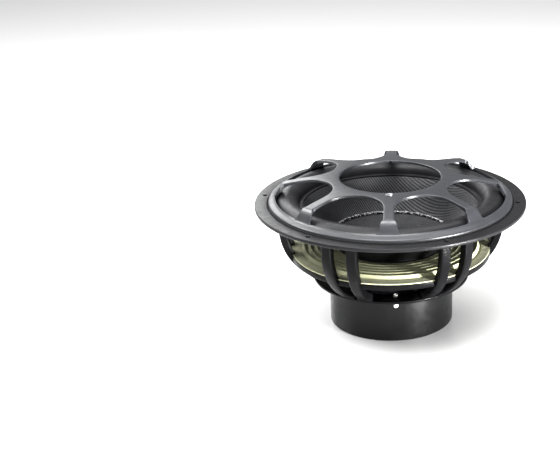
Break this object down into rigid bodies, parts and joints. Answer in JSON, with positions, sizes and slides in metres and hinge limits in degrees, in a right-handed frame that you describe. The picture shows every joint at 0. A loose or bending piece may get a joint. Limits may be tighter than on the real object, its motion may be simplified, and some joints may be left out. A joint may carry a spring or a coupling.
{
  "type": "car subwoofer speaker",
  "caption": "Subwoofer speaker: cast basket with paired ribs, dished woven cone on a rubber surround, waved spider, motor can, binding posts and a spoked front grille.",
  "frame": {"origin": "centre of the motor's rear face, on the cone's axis", "axes": "+Z out of the cone; -Y through the basket window opposite the terminals; +Y through the terminals' window"},
  "size_m": [0.314, 0.314, 0.1763],
  "materials": {
    "cast_paint": "satin black paint on a fine sand-cast skin",
    "grille_paint": "satin graphite paint",
    "can_paint": "semi-gloss black",
    "badge_metal": "blank satin disc",
    "foam_rubber": "matte",
    "surround_rubber": "matte with a fine bloom",
    "spider_cloth": "resin-stiffened waved cloth",
    "cone_weave": "twill of dark and silver yarn under clear resin",
    "bead_glue": "glossy adhesive",
    "former_film": "black film",
    "coil_copper": "enamelled wire turns",
    "pot_steel": "turned",
    "magnet_plating": "nickel plate",
    "ring_aluminium": "turned",
    "screw_steel": "zinc plate",
    "board_plastic": "moulded",
    "gold_plate": "polished plate",
    "tinned_brass": "tinned",
    "tinsel_braid": "braided"
  },
  "bodies": {
    "basket": {"basket_flange": "cast_paint", "basket_ribs": "cast_paint", "spider_shelf": "cast_paint", "basket_base": "cast_paint", "front_gasket": "foam_rubber", "surround": "surround_rubber", "spider": "spider_cloth", "grille": "grille_paint", "grille_badge": "badge_metal", "motor_can": "can_paint", "yoke_pot": "pot_steel", "magnet": "magnet_plating", "gap_plate": "pot_steel", "shorting_ring": "ring_aluminium", "vent_mesh": "can_paint", "motor_screws": "screw_steel", "can_screws": "screw_steel", "terminal_board": "board_plastic", "board_screws": "screw_steel", "binding_post_a": "gold_plate", "binding_post_b": "gold_plate", "post_nuts": "gold_plate", "solder_tag_a": "tinned_brass", "solder_tag_b": "tinned_brass", "tinsel_lead_a": "tinsel_braid", "tinsel_lead_b": "tinsel_braid"},
    "cone_assembly": {"cone": "cone_weave", "dust_cap": "cone_weave", "cap_bead": "bead_glue", "voice_coil_former": "former_film", "coil_winding": "coil_copper"},
    "clamp_a": {"clamp_washer_a": "gold_plate"},
    "nut_a": {"thumb_nut_a": "gold_plate"},
    "clamp_b": {"clamp_washer_b": "gold_plate"},
    "nut_b": {"thumb_nut_b": "gold_plate"}
  },
  "joints": [
    {"name": "cone_travel", "type": "slide", "parent": "basket", "child": "cone_assembly", "axis": [0, 0, 1], "range_m": [-0.01, 0.01], "stiffness_N_per_m": 7000, "deforming": ["surround", "spider", "tinsel_lead_a", "tinsel_lead_b"]},
    {"name": "clamp_travel_a", "type": "slide", "parent": "basket", "child": "clamp_a", "axis": [0, 0, -1], "range_m": [0, 0.004]},
    {"name": "nut_turn_a", "type": "hinge", "parent": "clamp_a", "child": "nut_a", "pos_m": [-0.013, 0.101, 0.065], "axis": [0, 0, -1], "range_deg": [0, 1800]},
    {"name": "clamp_travel_b", "type": "slide", "parent": "basket", "child": "clamp_b", "axis": [0, 0, -1], "range_m": [0, 0.004]},
    {"name": "nut_turn_b", "type": "hinge", "parent": "clamp_b", "child": "nut_b", "pos_m": [0.013, 0.101, 0.065], "axis": [0, 0, -1], "range_deg": [0, 1800]}
  ],
  "couplings": [
    {"joint": "nut_turn_a", "follows": "clamp_travel_a", "rad_per_m": 7853.9},
    {"joint": "nut_turn_b", "follows": "clamp_travel_b", "rad_per_m": 7853.9}
  ]
}
